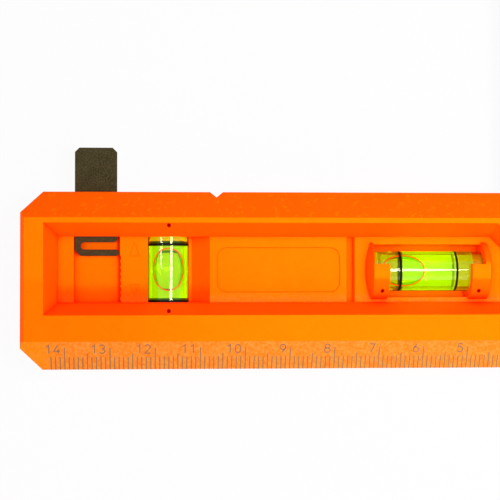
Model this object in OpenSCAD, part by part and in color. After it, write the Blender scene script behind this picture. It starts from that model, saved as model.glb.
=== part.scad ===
// Carpenter's try and mitre square, lying on its back with its face up.
// A moulded stock carries a steel blade, a level vial, a plumb vial and a retractable ledge.
// Positions inside the modules are u, the distance from the blade's outer edge along the stock,
// v, the height above the ruler edge, and z, the height above the back face.

/* [Stock] */
// Length of the stock along its ruler edge
stock_len = 149.75; // [140:0.25:200]
// Width of the stock, ruler edge to fence edge
stock_w = 39.6; // [38.7:0.05:44]
// Thickness of the stock
stock_t = 18; // [17:0.5:22]
// Width of the bevel along the fence edge and the mitre
fence_bevel_w = 5.9; // [4:0.1:6]
// Drop of the fence bevel at the edge
fence_bevel_drop = 4; // [2:0.1:5]
// Width of the ruler bevel
rule_bevel_w = 6.25; // [4:0.05:6.25]
// Drop of the ruler bevel at the edge
rule_bevel_drop = 3.25; // [2:0.1:5]
// Size of the two cut corners at the closed end
corner_cut = 4.8; // [2:0.1:6]
// Chamfer along the closed end
end_chamfer = 0.85; // [0.2:0.05:1]
// Distance of the V notch from the blade's outer edge
notch_at = 106.3; // [90:0.5:110]
// Width of the V notch at the fence edge
notch_w = 2.9; // [1:0.1:4]
// Depth of the V notch
notch_d = 1.25; // [0.5:0.05:2]

/* [Recess] */
// Rim along the fence edge and the mitre, at the face
fence_rim = 7.05; // [6.5:0.05:8]
// Rim along the ruler edge, at the face
rule_rim = 12.05; // [11.7:0.05:13]
// Rim at the closed end, at the face
end_rim = 5.1; // [4:0.1:7]
// Depth of the front recess down to its pads
recess_d = 8; // [7:0.1:8.5]
// How far each recess wall leans in over the recess depth
wall_lean = 2.8; // [1:0.05:3.2]
// How far the wall along the mitre leans in over the recess depth
mitre_lean = 2.1; // [1:0.05:3]
// Depth of the plain recess in the back
back_d = 4; // [2:0.1:5]
// Width of the cross groove beside the level vial
groove_w = 1.9; // [1:0.05:3]
// Depth of the cross groove below the pads
groove_d = 2.5; // [1:0.1:3]
// Distance of the cross groove from the blade's outer edge
groove_at = 75.4; // [74.8:0.1:78]
// Length of the sunk panel on the blank pad
panel_len = 28.1; // [15:0.1:28.5]
// Width of the sunk panel
panel_w = 10.2; // [6:0.1:11]
// Depth of the sunk panel
panel_d = 0.25; // [0.1:0.05:0.6]
// Corner radius of the sunk panel
panel_r = 2.2; // [0.5:0.1:3]

/* [Blade] */
// Thickness of the blade
blade_t = 1; // [0.8:0.1:1.6]
// Reach of the blade beyond the fence edge
blade_reach = 200; // [150:5:300]
// Corner cuts at the free end of the blade
blade_corner = 1.2; // [0.5:0.1:3]
// Distance from the ruler edge up to the foot of the blade
blade_foot = 1; // [0.8:0.1:1.1]
// How much wider the blade is than the stock
blade_over = 0.4; // [0.3:0.05:0.8]
// Running clearance on each side of the blade in its slot
blade_gap = 0.03; // [0.02:0.01:0.1]
// Rivet shank radius
rivet_r = 1.75; // [1.25:0.05:2]
// Rivet head radius
rivet_head_r = 2.6; // [2.3:0.05:2.8]
// Rivet head thickness
rivet_head_t = 0.9; // [0.6:0.1:1.5]
// Distance between neighbouring rivets
rivet_pitch = 6.8; // [6:0.1:7]
// Distance of the middle rivet from the blade's outer edge
rivet_mid = 28.8; // [28.4:0.1:29.5]

/* [Ledge] */
// Width of the steel ledge
ledge_w = 9.5; // [8:0.1:10]
// Thickness of the ledge
ledge_t = 1.5; // [1:0.1:2]
// Clearance left below the foot of the ledge when it is pushed in
ledge_stop = 0.25; // [0.15:0.05:1]
// How far the ledge stands out of the fence edge when it is extended
ledge_proud = 10.3; // [9:0.1:10.4]
// Distance of the ledge from the blade's outer edge
ledge_at = 128.65; // [128.4:0.05:129]
// Corner cuts at the top of the ledge
ledge_corner = 1; // [0.3:0.1:2]
// Width of the spring leg at the foot of the ledge
leg_w = 1.4; // [1:0.05:1.6]
// Width of the slot above the spring leg
leg_slot = 1.7; // [1:0.05:2]
// Width of the back that joins the spring leg to the ledge
leg_back = 1.25; // [1:0.05:2]
// How far the tip of the spring leg stands out beyond the ledge's side
leg_tip = 0.43; // [0.2:0.01:0.6]
// Corner cut at the mouth of the slot above the spring leg
mouth_cut = 0.5; // [0.2:0.1:0.8]
// Sliding play at each side and face of the ledge
ledge_play = 0.22; // [0.15:0.01:0.3]
// Distance between neighbouring teeth of the detent edge
tooth_pitch = 1.4; // [1:0.1:2]
// Depth of the detent teeth
tooth_d = 0.27; // [0.15:0.01:0.4]
// Flat crest left between two teeth
tooth_crest = 0.15; // [0.1:0.05:0.4]

/* [Vials] */
// Outer radius of a vial
vial_r = 4.5; // [4:0.1:4.8]
// Wall thickness of a vial
vial_wall = 0.6; // [0.4:0.05:0.9]
// Length of a vial
vial_len = 25; // [24:0.1:25.2]
// Thickness of a vial's closed end
vial_end = 1.5; // [1:0.1:2]
// Length of a vial's plug
plug_len = 2.4; // [2:0.1:3]
// Clearance round a vial in its pocket
vial_gap = 0.1; // [0.05:0.01:0.15]
// Clearance between the inner pieces of a vial
fill_gap = 0.02; // [0.01:0.01:0.04]
// Width of an index ring
ring_w = 0.5; // [0.3:0.05:0.6]
// Depth of an index ring's groove
ring_d = 0.1; // [0.05:0.01:0.2]
// Distance between the two index rings
ring_gap = 12.9; // [11:0.1:13.5]
// Length of a bubble
bubble_len = 9.8; // [7:0.1:10]
// Depth of a bubble
bubble_d = 2.9; // [2:0.1:3.1]
// Distance of the level vial's middle from the blade's outer edge
level_at = 57.9; // [57.5:0.1:58.3]
// How far the level vial's axis lies below the middle of the recess
level_drop = 0.35; // [-0.5:0.05:0.8]
// Distance of the plumb vial's axis from the blade's outer edge
plumb_at = 117; // [116.7:0.1:117.3]
// Height of the plumb vial's axis above the back
plumb_z = 5.3; // [4.9:0.05:5.3]
// How far the plumb vial's middle lies below the middle of the recess
plumb_drop = 0.75; // [-0.5:0.05:1.5]
// How far the plumb vial's bubble floats above its middle
plumb_bubble = 0.8; // [-2:0.1:2]
// Radius of the trough round the level vial
trough_r = 6.15; // [5.4:0.05:6.2]
// Outer radius of the two saddles
saddle_r = 6.55; // [6.3:0.05:6.7]
// Length of the saddle over the closed end of the level vial
saddle_far = 4.8; // [4:0.1:6]
// Length of the saddle over the plug of the level vial
saddle_near = 5.5; // [4.5:0.1:6]
// Sag of a saddle's domed outer end
dome_sag = 1.2; // [0.8:0.1:1.4]
// Thickness of the saddle's end wall beyond the closed end of the level vial, dome included
wall_far = 1.5; // [1.4:0.1:2]
// Thickness of the saddle's end wall beyond the plug of the level vial, dome included
wall_near = 2.4; // [1.4:0.1:2.6]
// Height of a strap's top edge above the vial's axis
strap_top = 1.5; // [0.5:0.1:3]
// Radius of the glue holes and dimples
pin_hole_r = 0.45; // [0.3:0.05:0.6]
// Top of the ramp beside the plumb vial, from the blade's outer edge
ramp_top = 107.6; // [107.4:0.1:109]
// Depth of the ramp below the pads where it meets the plumb vial
ramp_d = 3.6; // [2:0.1:4]
// Flat strip between the foot of the ramp and the plumb vial
ramp_foot = 0.7; // [0.3:0.1:1.2]

/* [Hidden] */
$fn = 96;
eps = 1;
mid_z = stock_t / 2;
total_w = stock_w + blade_reach;
pad_z = stock_t - recess_d;
lean = wall_lean / recess_d;

// The mitre runs from the blade's root corner to its outer corner
root_gap = 0.2;
root_relief = 0.1;
rivet_gap = 0.02;
blade_w = stock_w + blade_over;
mitre_off = blade_w + root_gap - stock_w;
tip_flat = 1.3;
tip_blunt = mitre_off + tip_flat;

// Recess walls at the height of the pads
recess_v0 = rule_rim + wall_lean;
recess_v1 = stock_w - fence_rim - wall_lean;
recess_u1 = stock_len - end_rim - wall_lean;
recess_mid = (recess_v0 + recess_v1) / 2;
panel_drop = 0.1;
bay_lift = 0.02;
bay_under = 0.03;
bay_v0 = recess_v0 - bay_under;
bay_v1 = recess_v1 + bay_under;

// Ledge and its channel
ledge_len = stock_w - recess_v0 - ledge_stop;
ledge_foot = stock_w + ledge_proud - ledge_len;
tooth_clear = 0.24;
channel_u0 = ledge_at - leg_tip - tooth_clear;
channel_u1 = ledge_at + ledge_w + ledge_play;
channel_z = mid_z - ledge_t / 2 - ledge_play;
tooth_chord = tooth_pitch - tooth_crest;
tooth_r = (tooth_chord * tooth_chord / 4 + tooth_d * tooth_d) / (2 * tooth_d);
tooth_drop = 0.6;
tooth_v = ledge_foot - tooth_drop;
tooth_count = floor((tooth_v - bay_v0) / tooth_pitch) + 1;

// Vials
bore_r = vial_r - vial_wall;
fill_r = bore_r - fill_gap;
pocket_r = vial_r + vial_gap;
bubble_R = (bubble_len * bubble_len / 4 + bubble_d * bubble_d) / (2 * bubble_d);
level_v = recess_mid - level_drop;
plumb_v = recess_mid - plumb_drop;
level_lo = level_at - vial_len / 2;
level_hi = level_at + vial_len / 2;
plumb_lo = plumb_v - vial_len / 2;
plumb_hi = plumb_v + vial_len / 2;
dome_R = (saddle_r * saddle_r + dome_sag * dome_sag) / (2 * dome_sag);
strap_lo = level_lo - vial_gap - wall_near + saddle_near;
strap_hi = level_hi + vial_gap + wall_far - saddle_far;
trough_in = 0.05;
well_gap = 0.05;
well_under = 0.5;
glue_low = 0.85;
glue_high = 0.5;
glue_floor = 1.25;
dimple_floor = 0.6;
dimple_drop = 4.6;
dimple_far = 1.7;
dimple_near = 1.2;

// Places the u, v, z layout in the part's own frame
module in_frame() {
    translate([stock_len / 2, -total_w / 2, 0]) mirror([1, 0, 0]) children();
}

// Extrudes a v, z profile along u
module along_u(u0, u1) {
    translate([u0, 0, 0]) rotate([90, 0, 90]) linear_extrude(u1 - u0) children();
}

// Extrudes a u, z profile along v
module along_v(v0, v1) {
    translate([0, v1, 0]) rotate([90, 0, 0]) linear_extrude(v1 - v0) children();
}

// Extrudes a profile of distance from the mitre and z along the mitre
module along_mitre() {
    reach = stock_len + stock_w;
    translate([mitre_off, 0, 0]) rotate([0, 0, -45]) translate([0, reach, 0])
        rotate([90, 0, 0]) linear_extrude(2 * reach) children();
}

// Prism that cuts one corner of the closed end; v is the corner's height and side its direction
module corner_cutter(v, side) {
    translate([stock_len, v, -eps]) linear_extrude(stock_t + 2 * eps)
        polygon([[-corner_cut - eps, side * eps], [eps, -side * (corner_cut + eps)], [eps, side * eps]]);
}

// The stock's blank: bevels along both edges and the mitre, cut corners and the V notch
module stock_blank() {
    far = 2 * stock_len;
    difference() {
        intersection() {
            along_u(tip_blunt, far) polygon([
                [0, rule_bevel_drop], [rule_bevel_w, 0], [stock_w - fence_bevel_w, 0],
                [stock_w, fence_bevel_drop], [stock_w, stock_t - fence_bevel_drop],
                [stock_w - fence_bevel_w, stock_t], [rule_bevel_w, stock_t],
                [0, stock_t - rule_bevel_drop]]);
            along_v(-eps, stock_w + eps) polygon([
                [0, -eps], [stock_len - end_chamfer - eps, -eps], [stock_len, end_chamfer],
                [stock_len, stock_t - end_chamfer],
                [stock_len - end_chamfer - eps, stock_t + eps], [0, stock_t + eps]]);
            along_mitre() polygon([
                [0, fence_bevel_drop], [fence_bevel_w * (1 + eps / fence_bevel_drop), -eps],
                [far, -eps], [far, stock_t + eps],
                [fence_bevel_w * (1 + eps / fence_bevel_drop), stock_t + eps],
                [0, stock_t - fence_bevel_drop]]);
        }
        corner_cutter(0, -1);
        corner_cutter(stock_w, 1);
        translate([notch_at, stock_w, -eps]) linear_extrude(stock_t + 2 * eps)
            polygon([[0, -notch_d], [notch_w, notch_d], [-notch_w, notch_d]]);
    }
}

// The front recess down to its pads, with leaning walls
module front_space() {
    z1 = stock_t + eps;
    high = (z1 - pad_z) * lean;
    far = 2 * stock_len;
    mitre_foot = fence_rim + mitre_lean;
    mitre_top = fence_rim - eps * mitre_lean / recess_d;
    intersection() {
        along_u(0, stock_len) polygon([
            [recess_v0, pad_z], [recess_v1, pad_z], [recess_v1 + high, z1], [recess_v0 - high, z1]]);
        along_v(0, stock_w) polygon([
            [0, pad_z], [recess_u1, pad_z], [recess_u1 + high, z1], [0, z1]]);
        along_mitre() polygon([[mitre_foot, pad_z], [far, pad_z], [far, z1], [mitre_top, z1]]);
    }
}

// The plain leaning recess of the back
module back_space() {
    lip = eps * lean;
    deep = back_d * lean;
    far = 2 * stock_len;
    intersection() {
        along_u(0, stock_len) polygon([
            [rule_rim - lip, -eps], [stock_w - fence_rim + lip, -eps],
            [stock_w - fence_rim - deep, back_d], [rule_rim + deep, back_d]]);
        along_v(0, stock_w) polygon([
            [0, -eps], [stock_len - end_rim + lip, -eps], [stock_len - end_rim - deep, back_d],
            [0, back_d]]);
        along_mitre() polygon([
            [fence_rim - lip, -eps], [far, -eps], [far, back_d], [fence_rim + deep, back_d]]);
    }
}

// Box between two distances u0 and u1, sunk from the pads down to height z0 and running just
// under the leaning walls at both of its ends
module sunk_bay(u0, u1, z0) {
    translate([u0, bay_v0, z0]) cube([u1 - u0, bay_v1 - bay_v0, pad_z + bay_lift - z0]);
}

// The ledge's channel in the web, with the detent teeth along one side
module ledge_channel() {
    sunk_bay(channel_u0, channel_u1, channel_z);
    intersection() {
        sunk_bay(channel_u0 - tooth_d - eps, channel_u1, channel_z);
        for (i = [0 : tooth_count - 1])
            translate([channel_u0 - tooth_d + tooth_r, tooth_v - i * tooth_pitch, channel_z - eps])
                cylinder(r = tooth_r, h = stock_t, $fn = 48);
    }
}

// The slot that leads the ledge out through the fence edge
module ledge_slot() {
    slot_w = ledge_w + 2 * ledge_play;
    translate([ledge_at - ledge_play, recess_v1 - eps, channel_z])
        cube([slot_w, stock_w - recess_v1 + 2 * eps, ledge_t + 2 * ledge_play]);
}

// The well over the plumb vial in the web, with the ramp beside it
module plumb_well() {
    half = pocket_r + well_gap;
    meet = plumb_at - half;
    floor_z = plumb_z - well_under;
    along_v(bay_v0, bay_v1) polygon([
        [ramp_top, pad_z + bay_lift], [meet - ramp_foot, pad_z - ramp_d], [meet, pad_z - ramp_d],
        [meet, floor_z], [plumb_at + half, floor_z], [plumb_at + half, pad_z + bay_lift]]);
}

// Pocket for a vial whose axis, the local Z axis, is at a height above the back; it is a round seat
// that is open to the back
module vial_pocket(len, height) {
    cylinder(r = pocket_r, h = len);
    translate([0, -pocket_r, 0]) cube([height + eps, 2 * pocket_r, len]);
}

// Turns a shape whose axis is local Z to lie along u, its local X pointing to the back
module lay_level() {
    translate([0, level_v, mid_z]) rotate([0, 90, 0]) children();
}

// Turns a shape whose axis is local Z to lie along v, its local X pointing to the back
module lay_plumb() {
    translate([plumb_at, 0, plumb_z]) rotate([0, 90, 0]) rotate([-90, 0, 0]) children();
}

// The round trough in the web beside the level vial: between the straps, and on the side that
// the straps leave free over the vial's whole length
module level_trough() {
    lay_level() translate([0, 0, strap_lo + trough_in])
        cylinder(r = trough_r, h = strap_hi - strap_lo - 2 * trough_in);
    intersection() {
        lay_level() translate([0, 0, level_lo - trough_in])
            cylinder(r = trough_r - trough_in, h = vial_len + 2 * trough_in);
        translate([level_lo - vial_len / 2, level_v + strap_top + trough_in, -eps])
            cube([2 * vial_len, trough_r, stock_t]);
    }
}

// Sunk panel with round corners
module sunk_panel() {
    pad_u0 = groove_at + groove_w / 2;
    u_mid = (pad_u0 + ramp_top) / 2;
    v_mid = recess_mid - panel_drop;
    a = panel_len / 2 - panel_r;
    b = panel_w / 2 - panel_r;
    translate([u_mid, v_mid, pad_z - panel_d]) {
        translate([-a, -panel_w / 2, 0]) cube([2 * a, panel_w, panel_d + eps]);
        translate([-panel_len / 2, -b, 0]) cube([panel_len, 2 * b, panel_d + eps]);
        for (x = [-a, a], y = [-b, b]) translate([x, y, 0])
            cylinder(r = panel_r, h = panel_d + eps, $fn = 48);
    }
}

// Everything that is cut out of the stock's blank
module stock_cuts() {
    front_space();
    back_space();
    ledge_channel();
    ledge_slot();
    plumb_well();
    sunk_panel();
    sunk_bay(groove_at - groove_w / 2, groove_at + groove_w / 2, pad_z - groove_d);
    lay_level() translate([0, 0, level_lo - vial_gap]) vial_pocket(vial_len + 2 * vial_gap, mid_z);
    level_trough();
    lay_plumb() translate([0, 0, plumb_lo - vial_gap]) vial_pocket(vial_len + 2 * vial_gap, plumb_z);
    blade_slot();
    for (i = [-1 : 1]) translate([rivet_mid + i * rivet_pitch, rivet_v, 0]) rivet_bore();
    for (v = [rule_rim + glue_low, stock_w - fence_rim - glue_high])
        translate([plumb_at, v, pad_z + glue_floor]) cylinder(r = pin_hole_r, h = recess_d, $fn = 32);
}

// One saddle of the level vial: a domed end wall and a strap over the lower side of the vial.
// Its dome starts at z = 0, the vial's pocket at z = wall, and its local X points to the back.
module saddle(len, wall) {
    difference() {
        intersection() {
            cylinder(r = saddle_r, h = len);
            translate([0, 0, dome_R]) sphere(r = dome_R, $fn = 128);
            translate([-2 * saddle_r, -saddle_r - eps, 0])
                cube([2 * saddle_r, 2 * (saddle_r + eps), len]);
        }
        translate([0, 0, wall]) cylinder(r = pocket_r, h = len);
        translate([-saddle_r - eps, strap_top, wall]) cube([saddle_r + 2 * eps, saddle_r, len]);
    }
}

// Both saddles in place; they stand on the web from the height of the vial's axis up
module saddles() {
    lay_level() translate([0, 0, strap_lo - saddle_near]) saddle(saddle_near, wall_near);
    lay_level() translate([0, 0, strap_hi + saddle_far]) mirror([0, 0, 1])
        saddle(saddle_far, wall_far);
}

// Centre line of the rivets, midway across the land beside the ruler bevel
rivet_v = (rule_rim + rule_bevel_w) / 2;

// Slot for the blade in the stock; it runs a little past the mitre's root, so it parts the mitre's
// face into two
module blade_slot() {
    gap = blade_t + 2 * blade_gap;
    translate([-eps, blade_foot - blade_gap, mid_z - gap / 2])
        cube([blade_w + root_gap + root_relief + eps, stock_w, gap]);
}

// Bore and two counterbores for one rivet
module rivet_bore() {
    translate([0, 0, -eps]) cylinder(r = rivet_r + rivet_gap, h = stock_t + 2 * eps);
    for (z = [-eps, stock_t - rivet_head_t])
        translate([0, 0, z]) cylinder(r = rivet_head_r + rivet_gap, h = rivet_head_t + eps);
}

// Moulded stock with bevels, recesses, slots and vial saddles
module stock() {
    color([0.99, 0.5, 0.05]) in_frame() difference() {
        union() {
            difference() {
                stock_blank();
                stock_cuts();
            }
            saddles();
        }
        for (u = [level_hi - dimple_far, level_lo + dimple_near])
            translate([u, level_v - dimple_drop, pad_z + dimple_floor])
                cylinder(r = pin_hole_r, h = mid_z, $fn = 32);
    }
}

// Steel blade
module blade() {
    color([0.72, 0.73, 0.74]) in_frame() translate([0, 0, mid_z - blade_t / 2]) difference() {
        linear_extrude(blade_t) polygon([
            [0, blade_foot], [blade_w, blade_foot], [blade_w, total_w - blade_corner],
            [blade_w - blade_corner, total_w], [blade_corner, total_w],
            [0, total_w - blade_corner]]);
        for (i = [-1 : 1]) translate([rivet_mid + i * rivet_pitch, rivet_v, -eps])
            cylinder(r = rivet_r + rivet_gap, h = blade_t + 2 * eps);
    }
}

// One rivet with a flush head on each face; i is -1, 0 or 1 along the row
module rivet(i) {
    sunk = 0.08;
    head = rivet_head_t - sunk;
    color([0.78, 0.78, 0.8]) in_frame()
        translate([rivet_mid + i * rivet_pitch, rivet_v, sunk]) union() {
            cylinder(r = rivet_r, h = stock_t - 2 * sunk);
            cylinder(r = rivet_head_r, h = head);
            translate([0, 0, stock_t - 2 * sunk - head]) cylinder(r = rivet_head_r, h = head);
        }
}

// Points of an arc about [x, y], from angle a0 to angle a1
function arc(x, y, r, a0, a1) = [for (i = [0 : 12]) let (a = a0 + (a1 - a0) * i / 12)
    [x + r * cos(a), y + r * sin(a)]];

// Outline of the ledge: the spring leg's tip, the slot behind it, then the body
module ledge_outline() {
    tip_r = leg_w / 2;
    slot_r = leg_slot / 2;
    slot_end = ledge_w - leg_back - slot_r;
    mouth = leg_w + leg_slot;
    polygon(concat(
        arc(tip_r - leg_tip, tip_r, tip_r, -90, -270),
        arc(slot_end, leg_w + slot_r, slot_r, -90, 90),
        [[mouth_cut, mouth], [0, mouth + mouth_cut], [0, ledge_len - ledge_corner],
         [ledge_corner, ledge_len], [ledge_w - ledge_corner, ledge_len],
         [ledge_w, ledge_len - ledge_corner], [ledge_w, leg_back], [ledge_w - leg_back, 0]]));
}

// Retractable steel ledge with a spring leg at its foot
module ledge() {
    color([0.27, 0.22, 0.12]) in_frame() translate([ledge_at, ledge_foot, mid_z - ledge_t / 2])
        linear_extrude(ledge_t) ledge_outline();
}

// Groove for an index ring on a vial whose closed end is at z = 0
module ring(z) {
    translate([0, 0, z - ring_w / 2]) difference() {
        cylinder(r = vial_r, h = ring_w);
        translate([0, 0, -eps]) cylinder(r = vial_r - ring_d, h = ring_w + 2 * eps);
    }
}

// Clear tube with one closed end and two ring grooves
module vial_tube() {
    difference() {
        cylinder(r = vial_r, h = vial_len);
        translate([0, 0, vial_end]) cylinder(r = bore_r, h = vial_len);
        for (s = [-1, 1]) ring(vial_len / 2 + s * ring_gap / 2);
    }
}

// Plug in the open end of a vial
module vial_plug() {
    translate([0, 0, vial_len - plug_len]) cylinder(r = fill_r, h = plug_len);
}

// Liquid with a bubble that floats to the front face, its middle at height bubble_z
module vial_liquid(bubble_z) {
    lo = vial_end + fill_gap;
    hi = vial_len - plug_len - fill_gap;
    difference() {
        translate([0, 0, lo]) cylinder(r = fill_r, h = hi - lo);
        translate([-fill_r - bubble_R + bubble_d, 0, bubble_z]) sphere(r = bubble_R, $fn = 128);
    }
}

// The level vial's closed end is at its left, so it is laid with its open end to the blade
module level_place() {
    in_frame() lay_level() translate([0, 0, level_hi]) mirror([0, 0, 1]) children();
}

// The plumb vial's closed end is at its foot
module plumb_place() {
    in_frame() lay_plumb() translate([0, 0, plumb_lo]) children();
}

module level_vial_tube() { color([0.9, 1, 0.6, 0.4]) level_place() vial_tube(); }
module level_vial_plug() { color([0.95, 0.75, 0.1]) level_place() vial_plug(); }
module level_vial_liquid() {
    color([0.75, 0.85, 0]) level_place() vial_liquid(vial_end + 0.1 + bubble_len / 2);
}
module level_vial_ring_left() { color("black") level_place() ring(vial_len / 2 - ring_gap / 2); }
module level_vial_ring_right() { color("black") level_place() ring(vial_len / 2 + ring_gap / 2); }
module plumb_vial_tube() { color([0.9, 1, 0.6, 0.4]) plumb_place() vial_tube(); }
module plumb_vial_plug() { color([0.95, 0.75, 0.1]) plumb_place() vial_plug(); }
module plumb_vial_liquid() {
    color([0.75, 0.85, 0]) plumb_place() vial_liquid(vial_len / 2 + plumb_bubble);
}
module plumb_vial_ring_top() { color("black") plumb_place() ring(vial_len / 2 + ring_gap / 2); }
module plumb_vial_ring_bottom() { color("black") plumb_place() ring(vial_len / 2 - ring_gap / 2); }

stock();
blade();
rivet(-1);  // blade_rivet_1
rivet(0);  // blade_rivet_2
rivet(1);  // blade_rivet_3
ledge();
level_vial_tube();
level_vial_plug();
level_vial_liquid();
level_vial_ring_left();
level_vial_ring_right();
plumb_vial_tube();
plumb_vial_plug();
plumb_vial_liquid();
plumb_vial_ring_top();
plumb_vial_ring_bottom();
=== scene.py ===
"""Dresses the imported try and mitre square: moulded stock, steel blade, sliding ledge and two spirit vials.

Lengths that say mm are the maker's millimetres. u runs along the stock from the blade's outer edge, v runs
from the ruler edge towards the blade's tip, and z rises from the back. Everything is built in metres in the
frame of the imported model.
"""

from __future__ import annotations

import logging
import math
from dataclasses import dataclass, field
from enum import Enum
from typing import Any, Mapping, Optional, Sequence, Union

import bpy
from mathutils import Euler, Matrix, Vector

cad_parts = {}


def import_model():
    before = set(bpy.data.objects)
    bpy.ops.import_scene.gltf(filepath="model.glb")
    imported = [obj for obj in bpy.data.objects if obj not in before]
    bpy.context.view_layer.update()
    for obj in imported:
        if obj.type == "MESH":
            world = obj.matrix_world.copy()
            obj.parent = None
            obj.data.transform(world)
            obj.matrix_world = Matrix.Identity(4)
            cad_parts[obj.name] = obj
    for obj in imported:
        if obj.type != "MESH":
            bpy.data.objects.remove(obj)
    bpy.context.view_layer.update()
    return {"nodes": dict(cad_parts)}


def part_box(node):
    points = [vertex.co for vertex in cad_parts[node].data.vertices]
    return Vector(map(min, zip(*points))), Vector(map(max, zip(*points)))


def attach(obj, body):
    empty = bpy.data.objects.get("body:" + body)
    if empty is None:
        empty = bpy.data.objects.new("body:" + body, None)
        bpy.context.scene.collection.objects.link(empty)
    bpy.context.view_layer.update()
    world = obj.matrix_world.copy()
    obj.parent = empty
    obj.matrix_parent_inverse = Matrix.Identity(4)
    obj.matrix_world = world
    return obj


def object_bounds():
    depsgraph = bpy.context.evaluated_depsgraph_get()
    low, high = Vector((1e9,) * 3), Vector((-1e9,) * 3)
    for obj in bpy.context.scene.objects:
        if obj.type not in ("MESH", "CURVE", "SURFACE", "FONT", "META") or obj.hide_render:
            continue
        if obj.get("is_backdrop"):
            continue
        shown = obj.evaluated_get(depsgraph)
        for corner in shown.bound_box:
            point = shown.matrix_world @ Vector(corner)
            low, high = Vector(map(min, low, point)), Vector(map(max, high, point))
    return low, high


MM = 0.001
LOG = logging.getLogger("square")

Colour = tuple[float, float, float]
Point2 = tuple[float, float]
Point3 = tuple[float, float, float]
WHITE = (1.0, 1.0, 1.0)
BLACK = (0.0, 0.0, 0.0)


# ---- Node trees ----
@dataclass(frozen=True)
class Sock:
    """A node's output that adds Math nodes to its tree when it is used in an expression."""

    tree: Tree
    out: bpy.types.NodeSocket

    def math(self, operation: str, *terms: Term) -> Sock:
        """The result of one Math node, from its operation and its values or links in order."""
        return self.tree.node("ShaderNodeMath", {"operation": operation}, dict(enumerate(terms)))

    def __add__(self, other: Term) -> Sock:
        """Sum."""
        return self.math("ADD", self, other)

    def __sub__(self, other: Term) -> Sock:
        """Difference."""
        return self.math("SUBTRACT", self, other)

    def __rsub__(self, other: Term) -> Sock:
        """Difference from a number on the left."""
        return self.math("SUBTRACT", other, self)

    def __mul__(self, other: Term) -> Sock:
        """Product."""
        return self.math("MULTIPLY", self, other)

    __radd__ = __add__
    __rmul__ = __mul__

    def below(self, edge: Term, soft: float) -> Sock:
        """1 under an edge and 0 over it, with a step that starts and ends at soft from the edge."""
        ends = {0: self, 1: edge - soft, 2: edge + soft, 3: 1.0, 4: 0.0}
        return self.tree.node("ShaderNodeMapRange", {"interpolation_type": "SMOOTHSTEP"}, ends)

    def above(self, edge: Term, soft: float) -> Sock:
        """The reverse of below."""
        return 1.0 - self.below(edge, soft)

    def near(self, middle: float, reach: float, soft: float) -> Sock:
        """1 within a reach of a middle value, 0 away from it."""
        return self.math("ABSOLUTE", self - middle).below(reach, soft)


Term = Union[Sock, float, int]
Feed = Union[Sock, bpy.types.NodeSocket, float, int, Sequence[float]]
Settings = Optional[Mapping[str, Any]]
Feeds = Optional[Mapping[Union[int, str], Feed]]


class Tree:
    """A node tree in the making."""

    def __init__(self, tree: bpy.types.NodeTree) -> None:
        """Takes a tree over and empties it."""
        self.tree = tree
        tree.nodes.clear()

    def add(self, kind: str, settings: Settings = None, feeds: Feeds = None) -> bpy.types.Node:
        """Adds any node.

        Args:
            kind: the node's type.
            settings: its own properties, which are set first.
            feeds: the values or links of its input sockets, by number or name.

        Returns:
            The node.
        """
        made = self.tree.nodes.new(kind)
        for name, value in (settings or {}).items():
            setattr(made, name, value)
        for key, value in (feeds or {}).items():
            self.feed(made.inputs[key], value)
        return made

    def node(
        self, kind: str, settings: Settings = None, feeds: Feeds = None, out: Union[int, str] = 0
    ) -> Sock:
        """One output of a node that is made by add."""
        return Sock(self, self.add(kind, settings, feeds).outputs[out])

    def feed(self, socket: bpy.types.NodeSocket, value: Feed) -> None:
        """Links a socket, or sets its value.

        Args:
            socket: the input.
            value: a link, a number, a vector, or a colour, which gets its fourth number here.
        """
        if isinstance(value, Sock):
            value = value.out
        if isinstance(value, bpy.types.NodeSocket):
            self.tree.links.new(value, socket)
        elif socket.type == "RGBA" and len(value) == 3:
            socket.default_value = (*value, 1.0)
        else:
            socket.default_value = value


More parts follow.
